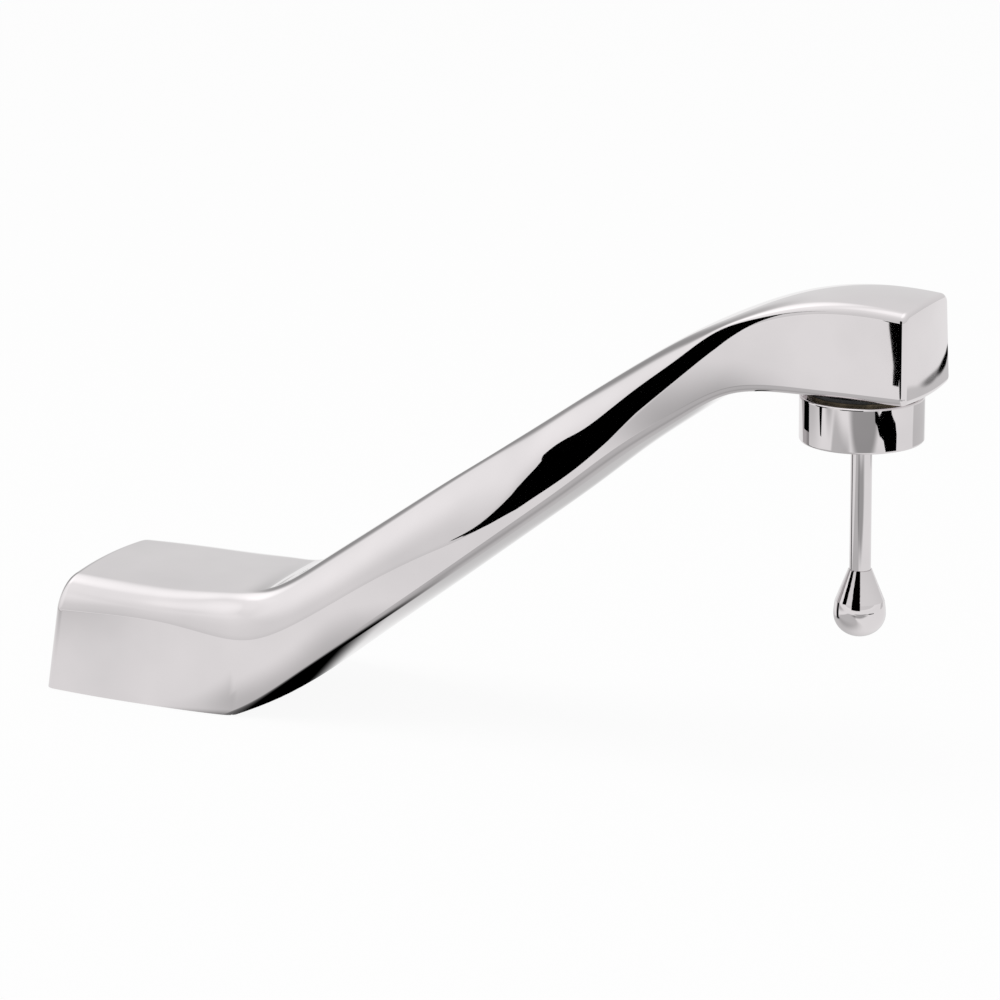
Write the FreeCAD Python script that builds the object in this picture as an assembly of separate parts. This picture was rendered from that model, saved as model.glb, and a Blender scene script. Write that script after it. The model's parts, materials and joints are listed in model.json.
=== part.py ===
import FreeCAD, Part
import math
import os

os.makedirs("parts", exist_ok=True)
V = FreeCAD.Vector

# Self-closing basin tap, in millimetres. The deck is z = 0, the shank stands on the z axis and
# +x runs to the outlet. Every piece is in its place on the closed tap.

# Gaps
CLEAR = 0.05          # running and thread gap, per side
LOOSE = 0.2           # gap round a seal or a washer, per side
MARGIN = 20.0         # how far a cutting shape stands out past what it cuts

# Casting
BASE_BACK = 26.4      # shank axis to the back of the base, at the deck
BASE_HALF = 27.5      # half width of the base at the deck
TOE = 28.0            # shank axis to where the underside leaves the deck
TOE_SLOPE = 0.55      # slope of the underside there
REACH = 170.0         # shank axis to outlet axis
HEAD_FACE = 88.4      # height of the spot face under the head
HEAD_BACK = 28.0      # outlet axis back to where the arm runs into the head
NOSE = 16.5           # outlet axis to the foot of the end face
SPOT_DEPTH = 0.3
WALL = 4.5            # upright thickness over and under the waterway
SIDE_WALL = 5.1
HEAD_WALL = 5.5       # over the valve chamber
HEAD_LIP = 0.65       # head's side past the valve's neck
BASE_WALL = 3.8
TOE_WALL = 7.0
FLOOR_T = 0.9         # over the shank's seal
WATER_H = 5.1         # height of the waterway over the shank
WATER_HALF = 9.0
SHOULDER = 17.3       # greatest drop from the ridge of the arm to the foot of the shoulder
BAND = 8.6            # greatest height of the band that rolls from side to shoulder
CROWN = 1.0
BELLY = 2.0
LOWER_ROUND = 2.5
BACK_R = 170.0        # plan radius of the back
BACK_DRAFT = 6.0
BACK_ROUND = 3.0
FRONT_R = 92.0        # plan radius of the end face
FRONT_DRAFT = 1.4
FRONT_ROUND = 1.5
SECTION_STEP = 4.0

# Base and shank
SHANK_R = 10.48       # 1/2-14 straight pipe thread, major radius
SHANK_BORE_R = 7.0
SHANK_BELOW = 48.0    # length under the deck
SHANK_IN = 14.5       # length up into the casting
INLET_LENGTH = 14.5   # thread left for the supply nut
RELIEF_T = 1.0
RELIEF_DEPTH = 0.9
GASKET_T = 2.0
BOSS_WALL = 3.97
POCKET_H = 8.0
POCKET_CORNER = 6.0
SEAL_T = 1.0
SCREEN_R = 8.6
SCREEN_T = 1.6
SCREEN_EYE_R = 1.6
SCREEN_HOLE_R = 1.3
DECK_T = 20.0
RUBBER_T = 3.0
RUBBER_R = 20.0
PLATE_T = 1.5
PLATE_R = 18.5
NUT_T = 8.0
NUT_AF = 28.6

# Outlet, on the outlet axis, from the head down
NECK_R = 12.25        # M24 outlet thread, major radius with its plating
SEAL_RING_T = 0.8
COLLAR_GAP = 0.6
COLLAR_H = 10.4
COLLAR_WALL = 1.7
COLLAR_LIP_T = 1.4
COLLAR_LIP = 2.05     # how far the lip reaches in under the neck
COLLAR_ROUND = 0.5
DISC_T = 3.2
DISC_LIP_T = 0.8
DISC_HOLE_R = 3.2
DISC_SPRAY_R = 1.25
DISC_SPRAYS = 10
RING_R = 5.5
RING_H = 3.5
BALL_R = 3.5

# Push rod and knob
ROD_R = 2.4
ROD_DROP = 49.4       # ball centre to the bottom of the knob
KNOB_H = 15.4
KNOB_R = 5.85
KNOB_NECK_R = 2.7
KNOB_WIDE = 5.2       # height of the widest ring above the knob's bottom
KNOB_SOCKET = 6.0
ROCKER_R = 6.0
ROCKER_T = 1.2
ROCKER_RISE = 3.4     # ball centre to the underside of the rocker plate
ROCKER_NECK_R = 1.6
RIVET_R = 1.1

# Self-closing valve, from the rocker up
FOOT_GAP = 0.1
FOOT_R = 5.0
FOOT_T = 1.2
STEM_R = 1.5
STEM_STEP_R = 2.3
NECK_BORE_R = 10.4
NECK_ROOF_T = 1.2
INNER_BORE_R = 7.6
WEB_RISE = 0.2        # spot face to the underside of the web
WEB_T = 2.0
SEAT_RISE = 0.6
SEAT_R = 4.3
SEAT_HOLE_R = 3.1
SPIGOT_R = 9.5
SPIGOT_BORE_R = 8.2
PAD_R = 5.2
PAD_T = 1.6
CUP_R = 5.5
CUP_T = 1.0
STEM_NUT_T = 2.0
STEM_NUT_AF = 5.0
SPRING_H = 5.0
SPRING_R = 4.4
SPRING_WIRE_R = 0.35
SPRING_TURNS = 3.5
RETAINER_T = 1.4
RETAINER_HOLE_R = 1.2
RETAINER_VENT_R = 0.6
STEM_PROUD = 0.2
STRAINER_H = 3.6
STRAINER_R = 7.4
STRAINER_FLANGE_T = 0.6
STRAINER_WALL = 0.5
STRAINER_HOLE_R = 0.5
STRAINER_RINGS = 3
STRAINER_PITCH = 2.3
CHAMBER_GAP = 1.2     # over the strainer

# Heights that follow from the sizes above
thread_r = SHANK_R + CLEAR
seal_top = SHANK_IN + SEAL_T
base_top = seal_top + FLOOR_T + WATER_H + WALL
neck_top = HEAD_FACE - SEAL_RING_T
collar_top = neck_top - COLLAR_GAP
collar_bottom = collar_top - COLLAR_H
lip_top = collar_bottom + COLLAR_LIP_T
disc_top = lip_top + DISC_T
washer_top = disc_top + SEAL_T
ring_bottom = lip_top + DISC_LIP_T + CLEAR
ball_z = ring_bottom + RING_H / 2
knob_bottom = ball_z - ROD_DROP
knob_top = knob_bottom + KNOB_H
rod_end = knob_top - KNOB_SOCKET
rocker_z = ball_z + ROCKER_RISE
foot_z = rocker_z + ROCKER_T + FOOT_GAP
web_bottom = HEAD_FACE + WEB_RISE
web_top = web_bottom + WEB_T
seat_z = web_top + SEAT_RISE
pad_top = seat_z + PAD_T
cup_top = pad_top + CUP_T
spring_top = cup_top + SPRING_H
spigot_top = spring_top + RETAINER_T
strainer_top = spigot_top + STRAINER_H
chamber_top = strainer_top + CHAMBER_GAP
head_top = chamber_top + HEAD_WALL
head_under = HEAD_FACE - SPOT_DEPTH
head_half = NECK_R + HEAD_LIP
collar_r = NECK_R + CLEAR + COLLAR_WALL
head_start = REACH - HEAD_BACK
end_x = REACH + NOSE

# Rows of the casting, one list for each stretch. The first column is the share of the stretch's length.
# Then come the rise of the ridge and of the underside, the width between head and base, the depth of the
# shoulder's foot, the band and the belly, all as shares of their sizes above. The tilt at the top of the
# band and the side's draft are in degrees. The last two are the flat share of the top and the lower round.
#   along,  ridge,  under,  width, should, band,  belly, tilt, draft, flat, lower
BASE_ROWS = [
    (-0.011, 0.000, 0.000, 0.850, 0.460, 0.140, 1.00, 22.0, 6.0, 0.62, 0.48),
    (0.301, 0.000, 0.000, 0.970, 0.390, 0.130, 1.00, 22.0, 6.0, 0.62, 0.48),
    (0.632, 0.000, 0.000, 1.000, 0.390, 0.130, 1.00, 22.0, 6.0, 0.61, 0.48),
    (0.816, 0.005, 0.000, 0.980, 0.486, 0.140, 1.00, 22.0, 6.0, 0.60, 0.48),
]
ARM_ROWS = [
    (0.000, 0.021, -0.004, 0.904, 0.584, 0.140, 1.00, 23.0, 5.8, 0.56, 0.48),
    (0.105, 0.106, 0.094, 0.760, 0.700, 0.140, 1.00, 24.0, 5.6, 0.46, 0.52),
    (0.237, 0.233, 0.225, 0.548, 0.755, 0.140, 1.00, 24.0, 5.2, 0.36, 0.60),
    (0.368, 0.358, 0.354, 0.370, 0.861, 0.130, 1.00, 24.0, 4.8, 0.28, 0.68),
    (0.456, 0.439, 0.442, 0.274, 0.954, 0.190, 0.95, 24.0, 4.7, 0.25, 0.76),
    (0.544, 0.522, 0.530, 0.192, 1.000, 0.650, 0.90, 24.0, 4.5, 0.23, 0.84),
    (0.667, 0.639, 0.655, 0.089, 0.990, 1.000, 0.85, 24.0, 4.2, 0.22, 0.92),
    (0.789, 0.752, 0.783, 0.027, 0.763, 0.790, 0.75, 23.0, 4.0, 0.23, 1.00),
    (0.895, 0.842, 0.883, 0.000, 0.538, 0.580, 0.60, 22.0, 3.8, 0.27, 0.88),
]
HEAD_ROWS = [
    (0.000, 0.915, 0.969, 0.000, 0.300, 0.390, 0.40, 19.0, 3.4, 0.36, 0.68),
    (0.226, 0.962, 0.994, 0.000, 0.205, 0.160, 0.25, 16.0, 3.1, 0.50, 0.72),
    (0.452, 0.990, 0.999, 0.000, 0.182, 0.100, 0.15, 15.0, 2.9, 0.66, 0.76),
    (0.679, 1.000, 1.000, 0.000, 0.178, 0.085, 0.15, 14.0, 2.7, 0.76, 0.76),
    (0.860, 0.998, 1.000, 0.000, 0.178, 0.080, 0.15, 14.0, 2.6, 0.79, 0.76),
    (1.086, 0.987, 1.000, 0.000, 0.178, 0.080, 0.15, 14.0, 2.5, 0.80, 0.76),
]
QUARTER_TURN = 0.5523  # handle length that makes a quarter turn round
ROUNDNESS = 0.56       # the same for the lower round
OPEN_ROUNDNESS = 0.62  # and for the shoulder's smaller turn


def spline(xs, ys):
    """Natural cubic spline through the points, as a function of x."""
    n = len(xs)
    h = [xs[i + 1] - xs[i] for i in range(n - 1)]
    diagonal = [1.0] * n
    right = [0.0] * n
    for i in range(1, n - 1):
        diagonal[i] = 2.0 * (h[i - 1] + h[i])
        right[i] = 6.0 * ((ys[i + 1] - ys[i]) / h[i] - (ys[i] - ys[i - 1]) / h[i - 1])
    for i in range(2, n - 1):
        m = h[i - 1] / diagonal[i - 1]
        diagonal[i] -= m * h[i - 1]
        right[i] -= m * right[i - 1]
    bend = [0.0] * n
    for i in range(n - 2, 0, -1):
        bend[i] = (right[i] - h[i] * bend[i + 1]) / diagonal[i]

    def value(x):
        i = 0
        while i < n - 2 and x > xs[i + 1]:
            i += 1
        u = xs[i + 1] - x
        v = x - xs[i]
        k = h[i]
        curved = (bend[i] * u ** 3 + bend[i + 1] * v ** 3) / (6 * k)
        return curved + (ys[i] / k - bend[i] * k / 6) * u + (ys[i + 1] / k - bend[i + 1] * k / 6) * v
    return value


def stations():
    """Splines of every column over x, in millimetres and degrees."""
    stretches = [(BASE_ROWS, -BASE_BACK, TOE), (ARM_ROWS, TOE, head_start), (HEAD_ROWS, head_start, end_x)]
    rows = []
    for table, start, end in stretches:
        for along, ridge, under, width, foot, band, belly, tilt, draft, flat, lower in table:
            x = start + along * (end - start)
            rows.append((
                x,
                base_top + ridge * (head_top - base_top),
                under * head_under - max(0.0, TOE - x) * TOE_SLOPE,
                head_half + width * (BASE_HALF - head_half),
                foot * SHOULDER,
                math.log(band * BAND),
                belly * BELLY,
                tilt,
                draft,
                flat,
                lower * LOWER_ROUND,
            ))
    xs = [row[0] for row in rows]
    return xs, [spline(xs, [row[k] for row in rows]) for k in range(1, 11)]


XS, COLUMNS = stations()
RIDGE, UNDER, HALF = COLUMNS[:3]


def meet(p, u, q, w):
    """Where the line from p along u meets the line from q along w."""
    across = u[0] * w[1] - u[1] * w[0]
    t = ((q[0] - p[0]) * w[1] - (q[1] - p[1]) * w[0]) / across
    return (p[0] + u[0] * t, p[1] + u[1] * t)


def towards(p, q, share):
    return (p[0] + (q[0] - p[0]) * share, p[1] + (q[1] - p[1]) * share)


def rounding(start, corner, end, handle):
    """Poles of a curve from start to end that leaves and arrives towards the corner."""
    return [start, towards(start, corner, handle), towards(end, corner, handle), end]


def bezier(poles):
    g = Part.BezierCurve()
    g.setPoles(poles)
    return g.toShape()


def skin(sections):
    """Solid through sections across x. Each one is its x and the poles of its curves, in order round it."""
    xs = [x for x, _ in sections]
    faces = []
    for k in range(len(sections[0][1])):
        rows = []
        for j in range(len(sections[0][1][k])):
            g = Part.BSplineCurve()
            g.interpolate(Points=[V(x, *curves[k][j]) for x, curves in sections], Parameters=xs)
            rows.append(g)
        degree = len(rows) - 1
        poles = [g.getPoles() for g in rows]
        mults = rows[0].getMultiplicities()
        knots = rows[0].getKnots()
        surface = Part.BSplineSurface()
        surface.buildFromPolesMultsKnots(
            poles, [degree + 1, degree + 1], mults, [0.0, 1.0], knots, False, False, degree, rows[0].Degree)
        faces.append(surface.toShape())
    for x, curves in (sections[0], sections[-1]):
        faces.append(Part.Face(Part.Wire([bezier([V(x, *p) for p in points]) for points in curves])))
    shell = Part.makeShell(faces)
    shell.sewShape()
    solid = Part.Solid(shell)
    if solid.Volume < 0:
        solid.reverse()
    return solid


def section(x):
    """Outline of the casting at x: ridge, shoulder, band, side, lower round and belly."""
    ridge, under, half, drop, log_band, belly, tilt, draft, flat, lower = [column(x) for column in COLUMNS]
    slant = math.radians(draft)
    roll = math.radians(tilt)
    up_side = (-math.sin(slant), math.cos(slant))
    up_band = (-math.sin(roll), math.cos(roll))
    low_z = under + belly
    low_y = half + max(0.0, -low_z) * math.tan(slant)
    foot_z = ridge - drop
    foot = (low_y - (foot_z - low_z) * math.tan(slant), foot_z)
    leg = math.exp(log_band) / (up_side[1] + up_band[1])
    turn = (foot[0] + leg * up_side[0], foot[1] + leg * up_side[1])
    brow = (turn[0] + leg * up_band[0], turn[1] + leg * up_band[1])
    bow = CROWN / brow[0] ** 2
    flat_y = flat * brow[0]
    flat_end = (flat_y, ridge - bow * flat_y ** 2)
    peak = meet(brow, up_band, flat_end, (1.0, -2 * bow * flat_y))
    side_end = (low_y + up_side[0] * lower, low_z + up_side[1] * lower)
    sag = belly / low_y ** 2
    belly_y = low_y - lower
    belly_end = (belly_y, under + sag * belly_y ** 2)
    corner_in = meet(side_end, up_side, belly_end, (1.0, 2 * sag * belly_y))
    half_curves = [
        rounding(flat_end, peak, brow, OPEN_ROUNDNESS),
        [brow, turn, foot],
        [foot, side_end],
        rounding(side_end, corner_in, belly_end, ROUNDNESS),
    ]
    # a parabola between the two ends of a flat is exactly one quadratic curve
    top = [(-flat_end[0], flat_end[1]), (0.0, 2 * ridge - flat_end[1]), flat_end]
    bottom = [belly_end, (0.0, 2 * under - belly_end[1]), (-belly_end[0], belly_end[1])]
    mirrored = [[(-y, z) for y, z in points[::-1]] for points in half_curves[::-1]]
    return x, [top] + half_curves + [bottom] + mirrored


def oval(x, z, half_w, half_h):
    """Ellipse across the waterway, in four arcs that always start at the same side."""
    quarters = []
    for up in (1, -1):
        side = (up * half_w, z)
        end = (0.0, z + up * half_h)
        far_side = (-up * half_w, z)
        quarters.append(rounding(side, (side[0], end[1]), end, QUARTER_TURN))
        quarters.append(rounding(end, (far_side[0], end[1]), far_side, QUARTER_TURN))
    return x, quarters


def cyl(r, z0, z1, x=0.0, y=0.0):
    return Part.makeCylinder(r, z1 - z0, V(x, y, z0))


def tube(ro, ri, z0, z1, x=0.0):
    return cyl(ro, z0, z1, x).cut(cyl(ri, z0 - MARGIN, z1 + MARGIN, x))


def nut(flats, bore_r, z0, z1, x=0.0):
    """Hexagon with a straight bore."""
    r = flats / math.sqrt(3.0)
    turns = [math.radians(60 * i) for i in range(7)]
    ring = Part.makePolygon([V(x + r * math.cos(t), r * math.sin(t), z0) for t in turns])
    return Part.Face(ring).extrude(V(0, 0, z1 - z0)).cut(cyl(bore_r, z0 - MARGIN, z1 + MARGIN, x))


def holes(r, count, ring_r, z0, z1, x=0.0, turn=0.0):
    """Straight holes on a ring, as one cutting shape."""
    cutters = []
    for i in range(count):
        t = 2 * math.pi * (i + turn) / count
        cutters.append(cyl(r, z0, z1, x + ring_r * math.cos(t), ring_r * math.sin(t)))
    return Part.makeCompound(cutters)


def rounded_box(x0, x1, half, r, z0, z1):
    box = Part.makeBox(x1 - x0, 2 * half, z1 - z0, V(x0, -half, z0))
    upright = [e for e in box.Edges if abs(e.Vertexes[0].Z - e.Vertexes[1].Z) > (z1 - z0) / 2]
    return box.makeFillet(r, upright)


def save(shape, name):
    if len(shape.Solids) == 1:
        shape = shape.Solids[0]
    state = "valid" if shape.isValid() else "NOT VALID"
    print(name, state, len(shape.Solids), round(shape.Volume, 1), len(shape.Faces))
    shape.exportStep("parts/" + name + ".step")


def drafted_wall(r, draft, x, z_foot, z0, z1):
    """Round wall whose radius is r at z_foot and shrinks upwards."""
    slope = math.tan(math.radians(draft))
    return Part.makeCone(r + (z_foot - z0) * slope, r - (z1 - z_foot) * slope, z1 - z0, V(x, 0, z0))


def end_edges(shape, x_low, x_high):
    """Edges round the drafted end face that lies between two x values, without the one on the deck."""
    found = []
    for face in shape.Faces:
        if isinstance(face.Surface, Part.Cone) and x_low < face.CenterOfMass.x < x_high:
            found += [e for e in face.Edges if e.CenterOfMass.z > CLEAR]
    return found


def casting_outside():
    count = int(round((XS[-1] - XS[0]) / SECTION_STEP))
    step = (XS[-1] - XS[0]) / count
    body = skin([section(XS[0] + step * i) for i in range(count + 1)])
    width = 2 * (BASE_HALF + MARGIN)
    depth = MARGIN - UNDER(XS[0])
    low_x = -BASE_BACK - MARGIN
    body = body.cut(Part.makeBox(end_x - low_x, width, depth, V(low_x, -width / 2, -depth)))
    back = Part.makeBox(2 * MARGIN, width, base_top + 2 * MARGIN, V(low_x, -width / 2, -MARGIN))
    wall = drafted_wall(BACK_R, BACK_DRAFT, BACK_R - BASE_BACK, 0.0, -2 * MARGIN, base_top + 2 * MARGIN)
    body = body.cut(back.cut(wall))
    low_z = head_under - MARGIN
    nose = Part.makeBox(2 * MARGIN, width, head_top + MARGIN - low_z, V(end_x - MARGIN, -width / 2, low_z))
    nose_x = end_x - FRONT_R
    wall = drafted_wall(FRONT_R, FRONT_DRAFT, nose_x, head_under, low_z - MARGIN, head_top + 2 * MARGIN)
    # the seam of the wall is turned away from the end face
    wall.rotate(V(nose_x, 0, 0), V(0, 0, 1), 180)
    body = body.cut(nose.cut(wall))
    body = body.makeFillet(BACK_ROUND, end_edges(body, -BASE_BACK - MARGIN, 0.0))
    return body.makeFillet(FRONT_ROUND, end_edges(body, REACH, end_x + MARGIN))


def waterway():
    """Cored passage from over the shank to the valve chamber."""
    count = 16
    sections = []
    for i in range(count + 1):
        x = -SHANK_BORE_R + (REACH + SHANK_BORE_R) * i / count
        floor = max(UNDER(x) + BELLY + WALL, seal_top + FLOOR_T)
        roof = RIDGE(x) - WALL
        sections.append(oval(x, (floor + roof) / 2, min(WATER_HALF, HALF(x) - SIDE_WALL), (roof - floor) / 2))
    return skin(sections)


def spout_body():
    body = casting_outside().cut(waterway())
    pocket_back = BASE_WALL - BASE_BACK
    pocket_front = TOE - TOE_WALL
    pocket_half = BASE_HALF - SIDE_WALL
    recess = rounded_box(pocket_back, pocket_front, pocket_half, POCKET_CORNER, -MARGIN, GASKET_T)
    pocket = rounded_box(pocket_back, pocket_front, pocket_half, POCKET_CORNER, 0, POCKET_H)
    body = body.cut(recess).cut(pocket.cut(cyl(thread_r + BOSS_WALL, -MARGIN, POCKET_H + MARGIN)))
    body = body.cut(cyl(thread_r, -MARGIN, seal_top))
    body = body.cut(cyl(SHANK_BORE_R, 0, seal_top + FLOOR_T + WATER_H / 2))
    body = body.cut(cyl(NECK_R - LOOSE / 2, HEAD_FACE - MARGIN, HEAD_FACE, REACH))
    return body.cut(cyl(SPIGOT_R + CLEAR, HEAD_FACE - MARGIN, chamber_top, REACH))


def base_gasket():
    gasket = rounded_box(BASE_WALL - BASE_BACK + LOOSE / 2, TOE - TOE_WALL - LOOSE / 2,
                         BASE_HALF - SIDE_WALL - LOOSE / 2, POCKET_CORNER, 0, GASKET_T)
    return gasket.cut(cyl(thread_r + LOOSE / 2, -MARGIN, MARGIN))


def shank():
    body = tube(SHANK_R, SHANK_BORE_R, -SHANK_BELOW, SHANK_IN)
    relief_z = INLET_LENGTH - SHANK_BELOW
    body = body.cut(tube(SHANK_R + MARGIN, SHANK_R - RELIEF_DEPTH, relief_z, relief_z + RELIEF_T))
    return body.cut(cyl(SCREEN_R + CLEAR, -SHANK_BELOW - MARGIN, SCREEN_T - SHANK_BELOW))


def inlet_screen():
    low = -SHANK_BELOW
    screen = cyl(SCREEN_R, low, low + SCREEN_T).cut(cyl(SCREEN_EYE_R, low - MARGIN, low + MARGIN))
    return screen.cut(holes(SCREEN_HOLE_R, 6, (SCREEN_R + SCREEN_EYE_R) / 2, low - MARGIN, low + MARGIN))


def outlet_collar():
    collar = cyl(collar_r, collar_bottom, collar_top, REACH)
    collar = collar.makeFillet(COLLAR_ROUND, [e for e in collar.Edges if isinstance(e.Curve, Part.Circle)])
    collar = collar.cut(cyl(NECK_R - COLLAR_LIP, collar_bottom - MARGIN, collar_top, REACH))
    return collar.cut(cyl(NECK_R + CLEAR, lip_top, collar_top + MARGIN, REACH))


def outlet_disc():
    disc = cyl(NECK_R - CLEAR, lip_top, disc_top, REACH)
    disc = disc.cut(cyl(DISC_HOLE_R, lip_top - MARGIN, disc_top, REACH))
    disc = disc.cut(cyl(RING_R + CLEAR, lip_top + DISC_LIP_T, disc_top + MARGIN, REACH))
    spray_ring = (RING_R + NECK_R - COLLAR_LIP) / 2
    return disc.cut(holes(DISC_SPRAY_R, DISC_SPRAYS, spray_ring, lip_top - MARGIN, disc_top + MARGIN, REACH))


def ball_ring():
    ring = cyl(RING_R, ring_bottom, ring_bottom + RING_H, REACH)
    return ring.cut(Part.makeSphere(BALL_R + CLEAR, V(REACH, 0, ball_z)))


def push_rod():
    rod = cyl(ROD_R, rod_end, ball_z, REACH).fuse(Part.makeSphere(BALL_R, V(REACH, 0, ball_z)))
    rod = rod.fuse(cyl(ROCKER_NECK_R, ball_z, rocker_z, REACH))
    return rod.fuse(cyl(RIVET_R, ball_z, rocker_z + ROCKER_T - CLEAR, REACH)).removeSplitter()


def rocker_plate():
    plate = cyl(ROCKER_R, rocker_z, rocker_z + ROCKER_T, REACH)
    plate = plate.makeChamfer(ROCKER_T / 5, [e for e in plate.Edges if isinstance(e.Curve, Part.Circle)])
    return plate.cut(cyl(RIVET_R + CLEAR, rocker_z - MARGIN, rocker_z + MARGIN, REACH))


def knob():
    """Teardrop: round foot, widest ring, then a straight taper to the rod."""
    wide = knob_bottom + KNOB_WIDE
    slope = (KNOB_R - KNOB_NECK_R) / (KNOB_H - KNOB_WIDE)
    bend = (KNOB_R - slope * KNOB_WIDE / 5, wide + KNOB_WIDE * 3 / 5)
    outline = [
        rounding((0, knob_bottom), (KNOB_R, knob_bottom), (KNOB_R, wide), ROUNDNESS),
        [(KNOB_R, wide), (KNOB_R, wide + KNOB_WIDE / 4), bend],
        [bend, (KNOB_NECK_R, knob_top)],
        [(KNOB_NECK_R, knob_top), (0, knob_top)],
        [(0, knob_top), (0, knob_bottom)],
    ]
    edges = [bezier([V(REACH + r, 0, z) for r, z in points]) for points in outline]
    body = Part.Face(Part.Wire(edges)).revolve(V(REACH, 0, 0), V(0, 0, 1), 360)
    return body.cut(cyl(ROD_R + CLEAR / 2, rod_end, knob_top + MARGIN, REACH))


def valve_body():
    valve = cyl(NECK_R, washer_top, neck_top, REACH).fuse(cyl(SPIGOT_R, washer_top, spigot_top, REACH))
    valve = valve.cut(cyl(NECK_BORE_R, washer_top - MARGIN, neck_top - NECK_ROOF_T, REACH))
    valve = valve.cut(cyl(INNER_BORE_R, washer_top - MARGIN, web_bottom, REACH))
    valve = valve.cut(cyl(SPIGOT_BORE_R, web_top, spigot_top + MARGIN, REACH))
    valve = valve.fuse(cyl(SEAT_R, web_bottom, seat_z, REACH))
    return valve.cut(cyl(SEAT_HOLE_R, washer_top, seat_z + MARGIN, REACH)).removeSplitter()


def poppet_stem():
    stem = cyl(FOOT_R, foot_z, foot_z + FOOT_T, REACH).fuse(cyl(STEM_STEP_R, foot_z, seat_z, REACH))
    return stem.fuse(cyl(STEM_R, foot_z, spigot_top + STEM_PROUD, REACH)).removeSplitter()


def return_spring():
    """Coil with ground ends, between the stem's cup and the retainer."""
    pitch = SPRING_H / SPRING_TURNS
    helix = Part.makeHelix(pitch, SPRING_H, SPRING_R)
    helix.translate(V(REACH, 0, cup_top))
    ring = Part.Wire([Part.makeCircle(SPRING_WIRE_R, V(REACH + SPRING_R, 0, cup_top), V(0, 1, 0))])
    coil = Part.Wire(helix.Edges).makePipeShell([ring], True, True)
    return coil.common(cyl(SPRING_R + MARGIN, cup_top, spring_top, REACH))


def spring_retainer():
    low = spring_top - MARGIN
    high = spigot_top + MARGIN
    plate = tube(SPIGOT_BORE_R - CLEAR, STEM_R + CLEAR, spring_top, spigot_top, REACH)
    outer_ring = (SPRING_R + SPRING_WIRE_R + SPIGOT_BORE_R) / 2
    inner_ring = (SPRING_R - SPRING_WIRE_R + STEM_R) / 2
    plate = plate.cut(holes(RETAINER_HOLE_R, 6, outer_ring, low, high, REACH, 0.5))
    return plate.cut(holes(RETAINER_VENT_R, 4, inner_ring, low, high, REACH))


def strainer():
    cup = cyl(SPIGOT_R - LOOSE / 2, spigot_top, spigot_top + STRAINER_FLANGE_T, REACH)
    cup = cup.fuse(cyl(STRAINER_R, spigot_top, strainer_top, REACH))
    inside_r = STRAINER_R - STRAINER_WALL
    inside_top = strainer_top - STRAINER_WALL
    cup = cup.cut(cyl(inside_r, spigot_top - MARGIN, inside_top, REACH))
    for i in range(STRAINER_RINGS):
        ring_r = inside_r * (i + 0.5) / STRAINER_RINGS
        count = int(2 * math.pi * ring_r / STRAINER_PITCH)
        cup = cup.cut(holes(STRAINER_HOLE_R, count, ring_r, inside_top, strainer_top + MARGIN, REACH))
    return cup.removeSplitter()


plate_top = -DECK_T - RUBBER_T
nut_top = plate_top - PLATE_T
nut_bottom = nut_top - NUT_T

save(spout_body(), "spout_body")
save(base_gasket(), "base_gasket")
save(shank(), "shank")
save(tube(SHANK_R - LOOSE, SHANK_BORE_R, SHANK_IN, seal_top), "shank_seal")
save(inlet_screen(), "inlet_screen")
save(tube(RUBBER_R, thread_r + LOOSE / 2, plate_top, -DECK_T), "deck_rubber_washer")
save(tube(PLATE_R, thread_r + LOOSE / 2, nut_top, plate_top), "deck_metal_washer")
save(nut(NUT_AF, thread_r, nut_bottom, nut_top), "locknut")
save(outlet_collar(), "outlet_collar")
save(outlet_disc(), "outlet_disc")
save(ball_ring(), "ball_ring")
save(push_rod(), "push_rod")
save(rocker_plate(), "rocker_plate")
save(knob(), "knob")
save(tube(NECK_R - CLEAR, NECK_BORE_R, disc_top, washer_top, REACH), "disc_washer")
save(valve_body(), "valve_body")
save(tube(NECK_R - LOOSE, SPIGOT_R + LOOSE, neck_top, HEAD_FACE, REACH), "body_seal")
save(poppet_stem(), "poppet_stem")
save(tube(PAD_R, STEM_R + CLEAR, seat_z, pad_top, REACH), "valve_washer")
save(tube(CUP_R, STEM_R + CLEAR, pad_top, cup_top, REACH), "washer_cup")
save(nut(STEM_NUT_AF, STEM_R + CLEAR, cup_top, cup_top + STEM_NUT_T, REACH), "stem_nut")
save(return_spring(), "return_spring")
save(spring_retainer(), "spring_retainer")
save(strainer(), "strainer")
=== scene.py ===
import json
import math

import bpy
import numpy as np
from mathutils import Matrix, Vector
from mathutils.bvhtree import BVHTree


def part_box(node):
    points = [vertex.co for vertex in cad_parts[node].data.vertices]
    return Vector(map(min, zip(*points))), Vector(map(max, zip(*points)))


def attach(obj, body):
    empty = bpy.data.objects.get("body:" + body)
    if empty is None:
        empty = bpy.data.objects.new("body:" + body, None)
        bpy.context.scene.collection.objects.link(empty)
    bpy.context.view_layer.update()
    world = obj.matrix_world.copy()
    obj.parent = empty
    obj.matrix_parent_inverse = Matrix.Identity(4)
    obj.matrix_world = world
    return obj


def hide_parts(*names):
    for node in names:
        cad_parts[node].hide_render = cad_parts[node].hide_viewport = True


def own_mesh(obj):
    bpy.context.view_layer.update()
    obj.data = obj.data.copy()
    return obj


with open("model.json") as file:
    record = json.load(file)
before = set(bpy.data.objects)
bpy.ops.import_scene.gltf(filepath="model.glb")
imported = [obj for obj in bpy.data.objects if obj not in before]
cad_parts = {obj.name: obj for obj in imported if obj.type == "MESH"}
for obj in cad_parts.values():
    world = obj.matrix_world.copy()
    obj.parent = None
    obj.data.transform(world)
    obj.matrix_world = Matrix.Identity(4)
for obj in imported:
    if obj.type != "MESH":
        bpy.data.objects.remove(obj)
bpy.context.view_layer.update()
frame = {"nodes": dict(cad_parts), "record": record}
scene = bpy.context.scene
scene.view_settings.view_transform = "Standard"

# Materials

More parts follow.
